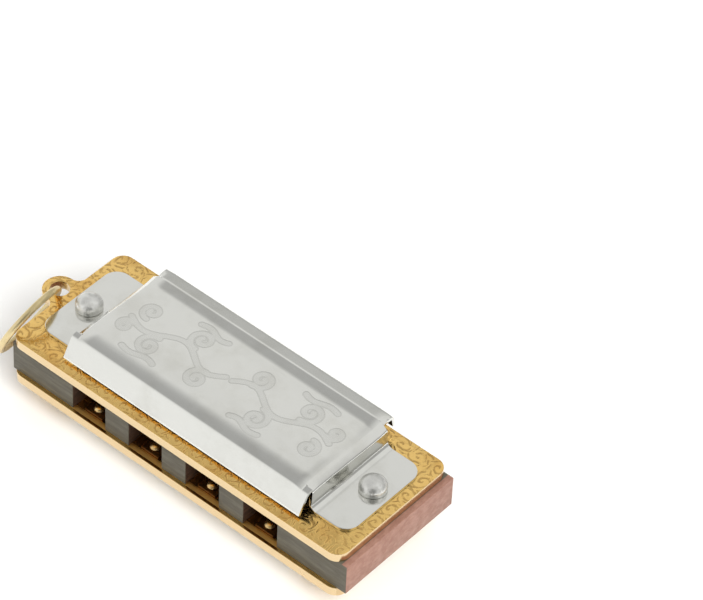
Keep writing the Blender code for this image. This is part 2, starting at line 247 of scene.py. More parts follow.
def build_scratches() -> bpy.types.NodeTree:
    """Build the group of fine rub marks that every metal shares.

    Returns:
        The group, with a Marks mask and a Haze value.
    """
    group = EffectGroup("rub_marks", {"Amount": 0.5, "Scale": 1.0}, ["Marks", "Haze"])
    place, amount = group.scaled(group.given["Vector"], group.given["Scale"]), group.given["Amount"]
    strokes = []
    for turn, along, across in ((0.35, 260.0, 9000.0), (-0.6, 300.0, 7000.0), (1.3, 240.0, 8000.0)):
        lines = group.noise(group.stretched(place, (along, across, along), turn), 1.0, 2.0)
        strokes.append(group.ramp(lines, 0.66, 0.72))
    marks = group.most(group.most(strokes[0], strokes[1]), strokes[2])
    patches = group.ramp(group.noise(place, 420.0, 4.0), 0.42, 0.62)
    group.put("Marks", group.times(marks, patches), amount)
    group.put("Haze", group.noise(place, 900.0, 5.0, 0.6), amount)
    return group.tree


def build_tarnish() -> bpy.types.NodeTree:
    """Build the group of soft tarnish patches and fine specks.

    Returns:
        The group, with Patches and Specks masks.
    """
    group = EffectGroup("tarnish", {"Amount": 0.5}, ["Patches", "Specks"])
    place, amount = group.given["Vector"], group.given["Amount"]
    broad = group.noise(place, 330.0, 5.0, 0.6)
    fine = group.noise(place, 4200.0, 3.0, 0.5)
    group.put("Patches", group.ramp(broad, 0.42, 0.74), amount)
    group.put("Specks", group.times(group.ramp(fine, 0.62, 0.72), group.ramp(broad, 0.4, 0.6)), amount)
    return group.tree


def build_scrolls() -> bpy.types.NodeTree:
    """Build the group that cuts a border of small curling scrolls, one to a tile.

    Returns:
        The group, with a Cut mask that is 1 in the engraved lines.
    """
    wander, coils, leaf_count, leaf_lean = 0.00075, 1.6, 7.0, 2.2
    group = EffectGroup("scroll_engraving", {"Tile X": 0.00186, "Tile Y": 0.0019}, ["Cut"])
    place = group.given["Vector"]
    wobble = group.add("ShaderNodeTexNoise", {"Vector": place, "Scale": 900.0, "Detail": 2.0})
    shift = group.vectors("SUBTRACT", wobble.outputs["Color"], (0.5, 0.5, 0.5))
    x, y, _ = group.split(group.vectors("ADD", place, group.scaled(shift, wander)))

    def tile(coordinate: Socket, size: Socket) -> tuple[Socket, Socket]:
        """Find a coordinate's place in its tile.

        Args:
            coordinate: The coordinate.
            size: The tile's size along it.

        Returns:
            The place inside the tile, -1..1, and the tile's number.
        """
        cells = group.math("DIVIDE", coordinate, size)
        number = group.math("ROUND", cells)
        return group.times(group.less(cells, number), 2.0), number

    across, column = tile(x, group.given["Tile X"])
    up, row = tile(y, group.given["Tile Y"])
    parity = group.math("PINGPONG", group.plus(column, row), 1.0)
    up = group.times(up, group.less(group.times(parity, 2.0), 1.0))
    radius = group.math("SQRT", group.plus(group.times(across, across), group.times(up, up)))
    angle = group.math("DIVIDE", group.math("ARCTAN2", up, across), math.tau)
    coil = group.math("PINGPONG", group.plus(group.times(radius, coils), angle), 0.5)
    spiral = group.times(group.ramp(coil, 0.25, 0.05), group.ramp(radius, 0.86, 0.74))
    phase = group.plus(group.times(angle, leaf_count), group.times(radius, leaf_lean))
    leaves = group.times(group.ramp(group.math("PINGPONG", phase, 0.5), 0.27, 0.06),
                         group.band(radius, (0.72, 0.82), (1.28, 1.1)))
    broken = group.ramp(group.noise(place, 2300.0, 2.0), 0.34, 0.52)
    group.put("Cut", group.most(spiral, leaves), broken)
    return group.tree


class SharedEffects:
    """The shader node groups that several finishes use, built once."""

    def __init__(self) -> None:
        """Build every group."""
        self.rub_marks = build_scratches()
        self.tarnish = build_tarnish()
        self.scrolls = build_scrolls()


class Material(NodeBoard):
    """A Principled material with Object coordinates at hand."""

    def __init__(self, name: str) -> None:
        """Start the material.

        Args:
            name: The material's name.
        """
        self.block = bpy.data.materials.new(name)
        self.block.use_nodes = True
        super().__init__(self.block.node_tree)
        self.shader = self.tree.nodes["Principled BSDF"]
        self.place = self.add("ShaderNodeTexCoord").outputs["Object"]

    def effect(self, group: bpy.types.NodeTree, **values: float) -> bpy.types.bpy_prop_collection:
        """Place a shared effect with its input values and give its outputs."""
        return self.add("ShaderNodeGroup", {"Vector": self.place, **values}, node_tree=group).outputs

    def set(self, name: str, value: object) -> None:
        """Set or link one of the shader's sockets."""
        self.feed(self.shader.inputs[name], value)

    def bump(self, height: Socket, distance: float, strength: float) -> None:
        """Raise the surface by a height of 0..1, with the relief in metres and the share that shows."""
        node = self.add("ShaderNodeBump", {"Distance": distance, "Strength": strength, "Height": height})
        self.set("Normal", node.outputs["Normal"])

    def metal(self, colour: Socket, roughness: Socket) -> None:
        """Make it a bare metal of some colour and roughness.

        Args:
            colour: The metal's colour.
            roughness: Its roughness.
        """
        self.set("Base Color", colour)
        self.set("Roughness", roughness)
        self.set("Metallic", 1.0)


@dataclass(frozen=True)
class BrightPlate:
    """Bright plating on the stamped covers, with the flourish pressed in."""

    colour: Colour = rgba(232, 232, 228)
    dull: Colour = rgba(214, 213, 206)
    shaded: Colour = rgba(150, 150, 144)
    roughness: float = 0.10
    stroke: float = 0.30
    fray: float = 0.06
    edge_shade: float = 0.22
    relief: float = 0.000010

    def material(self, effects: SharedEffects) -> bpy.types.Material:
        """Build the material.

        Args:
            effects: The shared node groups.

        Returns:
            The finished material.
        """
        made = Material("bright_plate")
        marks = made.effect(effects.rub_marks, Amount=0.6)
        haze = made.effect(effects.tarnish, Amount=0.5)
        gap = made.add("ShaderNodeAttribute", attribute_name="stroke").outputs["Fac"]
        gap = made.total(gap, (made.noise(made.place, 3200.0, 2.0), self.fray))
        pressed = made.ramp(gap, self.stroke + 0.05, self.stroke - 0.03)
        edge = made.band(gap, (self.stroke + 0.08, self.stroke + 0.01),
                         (self.stroke - 0.10, self.stroke - 0.02))
        colour = made.mix(haze["Patches"], self.colour, self.dull)
        colour = made.mix(made.times(edge, self.edge_shade), colour, self.shaded)
        made.metal(colour, made.total(self.roughness, (marks["Haze"], 0.10), (haze["Specks"], 0.10),
                                      (pressed, 0.14), (marks["Marks"], 0.12)))
        swell = made.noise(made.place, 260.0, 2.0)
        made.bump(made.total(swell, (marks["Marks"], -0.12), (pressed, -0.8)), self.relief, 0.6)
        return made.block


@dataclass(frozen=True)
class EngravedBrass:
    """Yellow brass of the reed plates, with the cut border or with a rubbed front strip."""

    name: str = "engraved_brass"
    engraved: bool = True
    colour: Colour = rgba(252, 211, 130)
    warm: Colour = rgba(238, 186, 102)
    sawn: Colour = rgba(229, 203, 160)
    cut: Colour = rgba(132, 86, 38)
    rolled: tuple = (500.0, 5200.0, 2600.0)
    roughness: float = 0.13
    cut_shade: float = 0.36
    relief: float = 0.00003

    def material(self, effects: SharedEffects) -> bpy.types.Material:
        """Build the material.

        Args:
            effects: The shared node groups.

        Returns:
            The finished material.
        """
        made = Material(self.name)
        marks = made.effect(effects.rub_marks, Amount=0.8, Scale=1.3)
        stain = made.effect(effects.tarnish, Amount=0.8)
        colour = made.mix(stain["Patches"], self.colour, self.warm)
        colour = made.mix(made.times(stain["Specks"], 0.4), colour, self.cut)
        grain = made.noise(made.stretched(made.place, self.rolled), 1.0)
        rough = made.total(self.roughness, (grain, 0.14), (marks["Marks"], 0.1))
        relief = made.times(grain, 0.12)
        facing = made.split(made.add("ShaderNodeNewGeometry").outputs["True Normal"])[2]
        colour = made.mix(made.ramp(made.math("ABSOLUTE", facing), 0.9, 0.4), colour, self.sawn)
        if self.engraved:
            cut = made.times(made.effect(effects.scrolls)["Cut"], made.ramp(facing, 0.8, 0.95))
            colour = made.mix(made.times(cut, self.cut_shade), colour, self.cut)
            rough = made.total(rough, (cut, 0.25))
            relief = made.less(relief, cut)
        else:
            rubbed = made.band(made.split(made.place)[1], (-0.0056, -0.00585), (-0.00624, -0.00616))
            rough = made.total(rough, (rubbed, 0.4))
        made.metal(colour, rough)
        made.bump(relief, self.relief, 0.7)
        return made.block


@dataclass(frozen=True)
class PlainMetal:
    """Small turned, drawn or pressed metal pieces."""

    name: str
    colour: Colour
    dark: Colour
    roughness: float
    pitting: float
    pit_scale: float = 2600.0
    relief: float = 0.00005

    def material(self, effects: SharedEffects) -> bpy.types.Material:
        """Build the material.

        Args:
            effects: The shared node groups.

        Returns:
            The finished material.
        """
        made = Material(self.name)
        marks = made.effect(effects.rub_marks, Amount=0.7, Scale=1.6)
        stain = made.effect(effects.tarnish, Amount=0.9)
        pits = made.ramp(made.noise(made.place, self.pit_scale, 4.0, 0.65), 0.36, 0.62)
        shade = made.times(made.less(1.0, pits), self.pitting, clamp=True)
        shade = made.most(shade, made.times(stain["Patches"], 0.35))
        made.metal(made.mix(shade, self.colour, self.dark),
                   made.total(self.roughness, (shade, 0.2), (marks["Marks"], 0.12)))
        made.bump(pits, self.relief * max(self.pitting, 0.2), 0.8)
        return made.block


@dataclass(frozen=True)
class CombWood:
    """One face of the wooden comb: its sealed front, raw end grain or the chamber walls, dark painted
    shade.
    """

    name: str
    pale: Colour
    dark: Colour
    grain: tuple
    grime: Colour
    grime_share: float
    roughness: float = 0.62
    relief: float = 0.00003

    def material(self, effects: SharedEffects) -> bpy.types.Material:
        """Build the material.

        Args:
            effects: The shared node groups.

        Returns:
            The finished material.
        """
        made = Material(self.name)
        fibres = made.stretched(made.place, self.grain)
        streaks = made.ramp(made.noise(fibres, 1.0, 5.0, 0.65), 0.34, 0.68)
        pores = made.ramp(made.noise(fibres, 3.1, 3.0, 0.6), 0.58, 0.7)
        stain = made.effect(effects.tarnish, Amount=1.0)
        dirt = made.times(made.most(stain["Patches"], pores), self.grime_share)
        made.set("Base Color", made.mix(dirt, made.mix(streaks, self.dark, self.pale), self.grime))
        made.set("Roughness", made.total(self.roughness, (streaks, -0.12)))
        made.bump(made.total(streaks, (pores, -0.6)), self.relief, 0.7)
        return made.block


# ---------------------------------------------------------------------------------------------
# Mesh building
# ---------------------------------------------------------------------------------------------


def put_in_scene(name: str, data: bpy.types.ID) -> bpy.types.Object:
    """Make an object and put it in the scene.

    Args:
        name: The object's name.
        data: Its mesh, light or camera.

    Returns:
        The object.
    """
    item = bpy.data.objects.new(name, data)
    bpy.context.scene.collection.objects.link(item)
    return item


def shift(bm: bmesh.types.BMesh, x: float, y: float, z: float) -> None:
    """Move a whole mesh."""
    bmesh.ops.translate(bm, verts=bm.verts, vec=(x, y, z))


def turn(bm: bmesh.types.BMesh, axis: str, angle: float = math.pi) -> None:
    """Turn a whole mesh about an axis through the origin, by half a turn unless told otherwise."""
    bmesh.ops.rotate(bm, verts=bm.verts, cent=(0, 0, 0), matrix=Matrix.Rotation(angle, 3, axis))


def slice_mesh(bm: bmesh.types.BMesh, place: Sequence[float], normal: Sequence[float]) -> None:
    """Cut a line of edges through a whole mesh where a plane crosses it."""
    bmesh.ops.bisect_plane(bm, geom=bm.verts[:] + bm.edges[:] + bm.faces[:], dist=1e-5, plane_co=place,
                           plane_no=normal)


def soften_rims(bm: bmesh.types.BMesh, width: float, segments: int) -> None:
    """Round over the sharp rims of a solid.

    Args:
        bm: The solid.
        width: Width of the rounding.
        segments: Steps in the rounding.
    """
    rims = [e for e in bm.edges if len(e.link_faces) == 2 and e.calc_face_angle(0.0) > SHARP_RIM]
    bmesh.ops.bevel(bm, geom=rims, offset=width, offset_type="OFFSET", affect="EDGES", segments=segments,
                    profile=0.5, material=-1, clamp_overlap=True)


def finish_piece(name: str, bm: bmesh.types.BMesh, materials: Sequence[bpy.types.Material],
                 stands_for: Iterable[str], body: str = "instrument",
                 sharp: float = 38.0) -> bpy.types.Object:
    """Turn a bmesh in millimetres into a dressed piece of the model.

    Args:
        name: The piece's name.
        bm: The mesh, in millimetres, where it belongs.
        materials: Its materials, in slot order.
        stands_for: The CAD nodes it replaces.
        body: The body it rides on; empty for a piece attached to none.
        sharp: Edges over this angle in degrees shade sharp.

    Returns:
        The new object.
    """
    bmesh.ops.scale(bm, vec=(MM, MM, MM), verts=bm.verts)
    mesh = bpy.data.meshes.new(name)
    bm.to_mesh(mesh)
    bm.free()
    mesh.shade_smooth()
    mesh.set_sharp_from_angle(angle=math.radians(sharp))
    for material in materials:
        mesh.materials.append(material)
    piece = put_in_scene(name, mesh)
    if body:
        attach(piece, body)
    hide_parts(*stands_for)
    LOG.info("%s: %d faces", name, len(mesh.polygons))
    return piece


def settle_modifiers(piece: bpy.types.Object) -> None:
    """Replace a piece's mesh by the mesh that its modifiers give.

    Args:
        piece: The piece whose modifiers are applied.
    """
    graph = bpy.context.evaluated_depsgraph_get()
    graph.update()
    final = bpy.data.meshes.new_from_object(piece.evaluated_get(graph), depsgraph=graph)
    piece.modifiers.clear()
    piece.data = final


def smooth(share: float) -> float:
    """Ease a share, held to 0..1, at both of its ends."""
    share = min(max(share, 0.0), 1.0)
    return share * share * (3.0 - 2.0 * share)


def arc(centre: Point2, radius: float, start: float, end: float, steps: int) -> list[Point2]:
    """Return points on an arc between two angles in degrees, both ends included."""
    angles = [math.radians(start + (end - start) * k / steps) for k in range(steps + 1)]
    return [(centre[0] + radius * math.cos(a), centre[1] + radius * math.sin(a)) for a in angles]


def filleted(points: Sequence[Point2], radii: Sequence[float], steps: int) -> list[Vector]:
    """Round the inner corners of an open path.

    Args:
        points: The path's corners.
        radii: One radius for each inner corner.
        steps: Chords in each rounding.

    Returns:
        The rounded path.
    """
    path = [Vector(points[0])]
    for before, corner, after, radius in zip(points, points[1:], points[2:], radii):
        corner = Vector(corner)
        inward, outward = (Vector(before) - corner).normalized(), (Vector(after) - corner).normalized()
        half = inward.angle(outward) / 2
        centre = corner + (inward + outward).normalized() * (radius / math.sin(half))
        start = corner + inward * (radius / math.tan(half)) - centre
        end = corner + outward * (radius / math.tan(half)) - centre
        first = math.atan2(start.y, start.x)
        sweep = math.remainder(math.atan2(end.y, end.x) - first, math.tau)
        for k in range(steps + 1):
            angle = first + sweep * k / steps
            path.append(centre + Vector((math.cos(angle), math.sin(angle))) * radius)
    path.append(Vector(points[-1]))
    return path


def cut_blank(outline: Sequence[Point2], holes: Sequence[Sequence[Point2]], z0: float, z1: float,
              round_over: float, segments: int = 3) -> bmesh.types.BMesh:
    """Cut a flat piece from its outline, extrude it and round over its rims.

    Args:
        outline: The outer outline.
        holes: Outlines of its holes.
        z0: Height of the lower face.
        z1: Height of the upper face.
        round_over: Width of the rounded rim.
        segments: Steps in the rounding.

    Returns:
        The solid.
    """
    bm = bmesh.new()
    edges = []
    for loop in [outline, *holes]:
        verts = [bm.verts.new((x, y, z0)) for x, y in loop]
        edges += [bm.edges.new((verts[k - 1], verts[k])) for k in range(len(verts))]
    bmesh.ops.triangle_fill(bm, use_beauty=True, use_dissolve=True, edges=edges)
    grown = bmesh.ops.extrude_face_region(bm, geom=bm.faces[:])
    top = [item for item in grown["geom"] if isinstance(item, bmesh.types.BMVert)]
    bmesh.ops.translate(bm, vec=(0.0, 0.0, z1 - z0), verts=top)
    bmesh.ops.recalc_face_normals(bm, faces=bm.faces)
    soften_rims(bm, round_over, segments)
    return bm


def turned(profile: Sequence[Point2], steps: int) -> bmesh.types.BMesh:
    """Spin a profile of (radius, height) points, both ends on the axis, about Z.

    Args:
        profile: The profile.
        steps: Segments around.

    Returns:
        The closed turned solid.
    """
    bm = bmesh.new()
    verts = [bm.verts.new((r, 0.0, z)) for r, z in profile]
    edges = [bm.edges.new(pair) for pair in zip(verts, verts[1:])]
    bmesh.ops.spin(bm, geom=verts + edges, cent=(0, 0, 0), axis=(0, 0, 1), angle=math.tau, steps=steps,
                   use_merge=True)
    bmesh.ops.remove_doubles(bm, verts=bm.verts, dist=1e-4)
    bmesh.ops.recalc_face_normals(bm, faces=bm.faces)
    return bm


def dome(radius: float, seat: float, crown: float, flatness: float, steps: int) -> list[Point2]:
    """Draw a domed head's profile in (radius, height), without its top point.

    Args:
        radius: The dome's radius.
        seat: Height of its edge.
        crown: Its height over the edge.
        flatness: Power of the cosine; under 1 gives a flatter top.
        steps: Steps in a full quarter turn.

    Returns:
        The points, from near the top down.
    """
    angles = [math.tau / 4 * k / steps for k in range(steps - 1, 0, -1)]
    return [(radius * math.cos(a) ** flatness, seat + crown * math.sin(a)) for a in angles]


def box_mm(node: str) -> tuple[Vector, Vector]:
    """Return a CAD node's lowest and highest corners in millimetres."""
    low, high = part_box(node)
    return Vector(low) / MM, Vector(high) / MM


# ---------------------------------------------------------------------------------------------
# Sub-assemblies
# ---------------------------------------------------------------------------------------------


@dataclass
class ReedLayout:
    """Sizes shared by the comb, the reed plates and the reeds (mm)."""

    pitch: float = 6.0
    count: int = 4
    reed_width: float = 1.80
    lengths: tuple = (8.4, 7.9, 7.4, 6.9)
    root_gap: float = 0.05
    pad_length: float = 1.5
    slot_side: float = 0.06
    slot_end: float = 0.15
    blow_root_y: float = -4.15
    draw_root_y: float = 4.0
    rivet_hole: float = 0.39
    nails: tuple = ((-14.64, -0.14), (14.58, 0.48))
    nail_hole: float = 0.45

    def centres(self) -> list[float]:
        """Return the middle of each chamber along X."""
        return [self.pitch * (i - (self.count - 1) / 2) for i in range(self.count)]

    def root(self, bank: ReedBank) -> tuple[float, int]:
        """Return a bank's root line in Y, and +1 if its tongues point to the back or -1."""
        return (self.blow_root_y, 1) if bank is ReedBank.BLOW else (self.draw_root_y, -1)

    def nail_holes(self) -> list[list[Point2]]:
        """Return the outlines of the two nail holes."""
        return [arc(nail, self.nail_hole, 0, 360, 24)[:-1] for nail in self.nails]


@dataclass
class Comb:
    """The slotted wooden body between the reed plates (mm)."""

    layout: ReedLayout
    chamber_width: float = 3.5
    chamber_end: float = 5.5
    edge_round: float = 0.10
    cove: float = 0.35
    end_from: float = 17.25
    left_before: float = -16.0
    mouth_rim: float = 0.12
    wall_rim: float = 0.06
    back_rim: float = 0.10
    facing: float = 0.6

    def outline(self, low: Vector, high: Vector) -> list[Point2]:
        """Draw the comb's plan, its chambers open at the mouth side.

        Args:
            low: Lowest corner of the comb.
            high: Highest corner of the comb.

        Returns:
            The outline.
        """
        points = [(low.x, low.y)]
        for x in self.layout.centres():
            left, right = x - self.chamber_width / 2, x + self.chamber_width / 2
            back = self.chamber_end
            points += [(left, low.y), (left, back - self.cove)]
            points += arc((left + self.cove, back - self.cove), self.cove, 180, 90, 5)[1:]
            points += arc((right - self.cove, back - self.cove), self.cove, 90, 0, 5)
            points += [(right, low.y)]
        return points + [(high.x, low.y), (high.x, high.y), (low.x, high.y)]

    def build(self, front: bpy.types.Material, end: bpy.types.Material,
              chamber: bpy.types.Material) -> bpy.types.Object:
        """Make the comb and give each kind of face its wood.

        Args:
            front: Sealed wood of the front, back and broad faces.
            end: Raw end grain.
            chamber: Dark wood inside the chambers, painted shade of the recesses.

        Returns:
            The comb.
        """
        low, high = box_mm("comb")
        bm = cut_blank(self.outline(low, high), self.layout.nail_holes(), low.z, high.z, self.edge_round, 2)
        slice_mesh(bm, (self.end_from, 0, 0), (1, 0, 0))
        reach = self.chamber_width / 2 + self.wall_rim
        # End faces get the end grain; chamber walls get dark wood, painted shade inside the chambers.
        for face in bm.faces:
            middle, normal = face.calc_center_median(), face.normal
            in_width = any(abs(middle.x - x) < reach for x in self.layout.centres())
            in_depth = low.y + self.mouth_rim < middle.y < self.chamber_end + self.back_rim
            right_end = middle.x > self.end_from and normal.y > -self.facing
            left_end = middle.x < self.left_before and normal.x < -self.facing
            if right_end or left_end:
                face.material_index = 1
            elif in_width and in_depth and abs(normal.z) < 0.7:
                face.material_index = 2
        return finish_piece("comb_body", bm, [front, end, chamber], ["comb"])


@dataclass
class ReedPlate:
    """A brass plate that carries one bank of reeds (mm)."""

    layout: ReedLayout
    level: Level
    bank: ReedBank
    corner: float = 1.1
    ear_reach: float = 0.75
    ear_radius: float = 1.45
    ear_hole: float = 0.82
    ear_fillet: float = 0.8
    rim: float = 0.09

    def outline(self, low: Vector, high: Vector) -> list[Point2]:
        """Draw the rounded plate, with the pierced ear on the upper one.

        Args:
            low: Lowest corner of the plate's rectangle.
            high: Highest corner of the plate's rectangle.

        Returns:
            The outline.
        """
        r = self.corner
        points: list[Point2] = []
        for centre, start in (((low.x + r, low.y + r), 180.0), ((high.x - r, low.y + r), 270.0),
                              ((high.x - r, high.y - r), 0.0), ((low.x + r, high.y - r), 90.0)):
            points += arc(centre, r, start, start + 90.0, 12)
        if self.level is Level.UPPER:
            fillet, reach = self.ear_fillet, self.ear_reach
            spread = math.sqrt((self.ear_radius + fillet) ** 2 - (reach - fillet) ** 2)
            lean = math.degrees(math.atan2(spread, reach - fillet))
            points += arc((low.x - fillet, spread), fillet, 0.0, lean - 180.0, 10)
            points += arc((low.x - reach, 0.0), self.ear_radius, lean, 360.0 - lean, 40)[1:-1]
            points += arc((low.x - fillet, -spread), fillet, 180.0 - lean, 0.0, 10)
        return points

    def holes(self, left: float) -> list[list[Point2]]:
        """Draw the nail holes, reed slots, rivet holes and the ear's hole.

        Args:
            left: X of the plate's left edge.

        Returns:
            The outlines.
        """
        root_y, towards = self.layout.root(self.bank)
        holes = self.layout.nail_holes()
        half = self.layout.reed_width / 2 + self.layout.slot_side
        for x, length in zip(self.layout.centres(), self.layout.lengths):
            reach = length + self.layout.root_gap + self.layout.slot_end
            near, far = sorted((root_y, root_y + towards * reach))
            holes.append([(x - half, near), (x + half, near), (x + half, far), (x - half, far)])
            rivet = (x, root_y - towards * self.layout.pad_length / 2)
            holes.append(arc(rivet, self.layout.rivet_hole, 0, 360, 20)[:-1])
        if self.level is Level.UPPER:
            holes.append(arc((left - self.ear_reach, 0.0), self.ear_hole, 0, 360, 36)[:-1])
        return holes

    def build(self, brass: bpy.types.Material) -> bpy.types.Object:
        """Make the plate.

        Args:
            brass: The plate's finish.

        Returns:
            The plate.
        """
        node = f"{self.level.value}_reed_plate"
        low, high = box_mm(node)
        if self.level is Level.UPPER:
            low.x += self.ear_reach + self.ear_radius
        bm = cut_blank(self.outline(low, high), self.holes(low.x), low.z, high.z, self.rim)
        return finish_piece(f"{self.level.value}_plate_brass", bm, [brass], [node])


@dataclass
class Reed:
    """One reed strip, riveted at its root and free at its tip (mm)."""

    layout: ReedLayout
    bank: ReedBank
    number: int
    thickness: float = 0.18
    tip_thickness: float = 0.12
    tip_round: float = 0.25
    bend_length: float = 2.2
    clamped: float = 0.3
    taper: float = 1.6
    rows: int = 24

    def build(self, brass: bpy.types.Material) -> bpy.types.Object:
        """Make the strip, its tongue thinned from the root towards the free tip.

        Args:
            brass: The reed's finish.

        Returns:
            The reed.
        """
        label = f"{self.bank.value}_reed_{self.number}"
        root_y, towards = self.layout.root(self.bank)
        length = self.layout.lengths[self.number - 1] + self.layout.root_gap
        low, high = box_mm(f"{label}_pad")
        x, half, r = (low.x + high.x) / 2, self.layout.reed_width / 2, self.tip_round
        pad = self.layout.pad_length
        outline = [(-half, -pad), (half, -pad)]
        outline += arc((half - r, length - r), r, 0, 90, 5) + arc((r - half, length - r), r, 90, 180, 5)
        hole = arc((0.0, -pad / 2), self.layout.rivet_hole, 0, 360, 20)[:-1]
        bm = cut_blank(outline, [hole], low.z, high.z, 0.02, 1)
        for k in range(1, self.rows):
            slice_mesh(bm, (0, length * k / self.rows - 0.02, 0), (0, 1, 0))
        middle = (low.z + high.z) / 2
        for vert in bm.verts:
            if vert.co.y > 0.0 and vert.co.z > middle:
                vert.co.z -= (self.thickness - self.tip_thickness) * smooth(vert.co.y / self.taper)
        if towards < 0:
            turn(bm, "Z")
        shift(bm, x, root_y, 0)
        nodes = [f"{label}_pad", f"{label}_tongue"]
        reed = finish_piece(f"{label}_strip", bm, [brass], nodes, body="")
        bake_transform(reed)
        return reed


@dataclass
class Rivet:
    """A reed's rivet: pressed dome, shank and flat tail (mm)."""

    bank: ReedBank
    number: int
    crown: float = 0.34
    tail: float = 0.12
    shank: float = 0.34
    chamfer: float = 0.04

    def build(self, brass: bpy.types.Material) -> bpy.types.Object:
        """Make the rivet.

        Args:
            brass: The rivet's finish.

        Returns:
            The rivet.
        """
        node = f"{self.bank.value}_rivet_{self.number}"
        low, high = box_mm(node)
        radius, seat = (high.x - low.x) / 2, high.z - self.crown
        tail, tail_z, cut = radius * 0.92, low.z + self.tail, self.chamfer
        bm = turned([(0.0, high.z), *dome(radius, seat, self.crown, 0.8, 10), (radius, seat + cut),
                     (radius - cut, seat), (self.shank, seat), (self.shank, tail_z), (tail, tail_z),
                     (tail, low.z + cut), (radius * 0.84, low.z), (0.0, low.z)], 28)
        shift(bm, (low.x + high.x) / 2, (low.y + high.y) / 2, 0)
        return finish_piece(f"{node}_pressed", bm, [brass], [node])


@dataclass
class CoverNail:
    """A domed nail through a cover's tab (mm)."""

    level: Level
    side: Side
    head_height: float = 1.10
    rim: float = 0.36
    shank: float = 0.40
    tip: float = 0.35
    dents: float = 0.02

    def build(self, steel: bpy.types.Material) -> bpy.types.Object:
        """Make the nail, its head slightly dented by the hammer.

        Args:
            steel: The nail's finish.

        Returns:
            The nail.
        """
        node = f"{self.level.value}_nail_{self.side.name.lower()}"
        low, high = box_mm(node)
        radius, length = (high.x - low.x) / 2, high.z - low.z
        crown, depth = self.head_height - self.rim, length - self.head_height
        side = [(radius - 0.02 * (1 - k / 6) ** 2, self.rim * k / 6) for k in range(6, 0, -1)]
        profile = [(0.0, self.head_height), *dome(radius, self.rim, crown, 0.9, 15), *side,
                   (radius - 0.03, 0.04), (radius - 0.07, 0.0), (self.shank, 0.0),
                   (self.shank, self.tip - depth), (self.shank * 0.5, 0.1 - depth), (0.0, -depth)]
        bm = turned(profile, 64)
        seed = Vector((self.side.value * 7.3, 3.1 if self.level is Level.UPPER else 9.7, 0.0))
        for vert in bm.verts:
            if vert.co.z > 0.1:
                rough = 0.6 * noise.noise(vert.co * 2.1 + seed) + 0.4 * noise.noise(vert.co * 5.3 + seed)
                vert.co -= vert.normal * self.dents * (0.5 + rough)
        seat = high.z - self.head_height
        if self.level is Level.LOWER:
            turn(bm, "X")
            seat = low.z + self.head_height
        shift(bm, (low.x + high.x) / 2, (low.y + high.y) / 2, seat)
        return finish_piece(f"{node}_domed", bm, [steel], [node])


@dataclass
class JumpRing:
    """The split ring of round wire that hangs in the ear (mm, degrees)."""

    radius: float = 3.30
    wire: float = 0.29
    split: float = 2.5
    normal: tuple = (0.887, 0.184, -0.409)
    yaw: float = -6.5
    grip: float = 10.0
    seat: tuple = (-0.20, -0.15, -0.15)
    split_at: float = 150.0
    end_round: float = 0.03

    def build(self, brass: bpy.types.Material, pivot: Vector) -> bpy.types.Object:
        """Make the ring about the point where its wire passes through the ear.

        Args:
            brass: The ring's finish.
            pivot: The middle of the ear's hole.

        Returns:
            The ring.
        """
        normal = Matrix.Rotation(math.radians(self.yaw), 3, "Z") @ Vector(self.normal).normalized()
        upright = (Vector((0, 0, 1)) - normal * normal.z).normalized()
        sideways = upright.cross(normal)
        if sideways.y > 0:
            sideways = -sideways
        grip = math.radians(self.grip)
        to_centre = sideways * math.cos(grip) - upright * math.sin(grip)
        along = normal.cross(to_centre)
        bm = bmesh.new()
        bmesh.ops.create_circle(bm, cap_ends=True, segments=24, radius=self.wire)
        turn(bm, "X", math.pi / 2)
        shift(bm, self.radius, 0, 0)
        bmesh.ops.spin(bm, geom=bm.faces[:], cent=(0, 0, 0), axis=(0, 0, 1),
                       angle=math.tau - math.radians(self.split), steps=140)
        bmesh.ops.recalc_face_normals(bm, faces=bm.faces)
        soften_rims(bm, self.end_round, 2)
        split = math.radians(self.split_at)
        out_x = -to_centre * math.cos(split) + along * math.sin(split)
        lean = Matrix((out_x, normal.cross(out_x), normal)).transposed().to_4x4()
        centre = pivot + Vector(self.seat) + to_centre * self.radius
        bmesh.ops.transform(bm, matrix=Matrix.Translation(centre) @ lean, verts=bm.verts)
        return finish_piece("jump_ring_wire", bm, [brass], ["jump_ring"], body="ring")


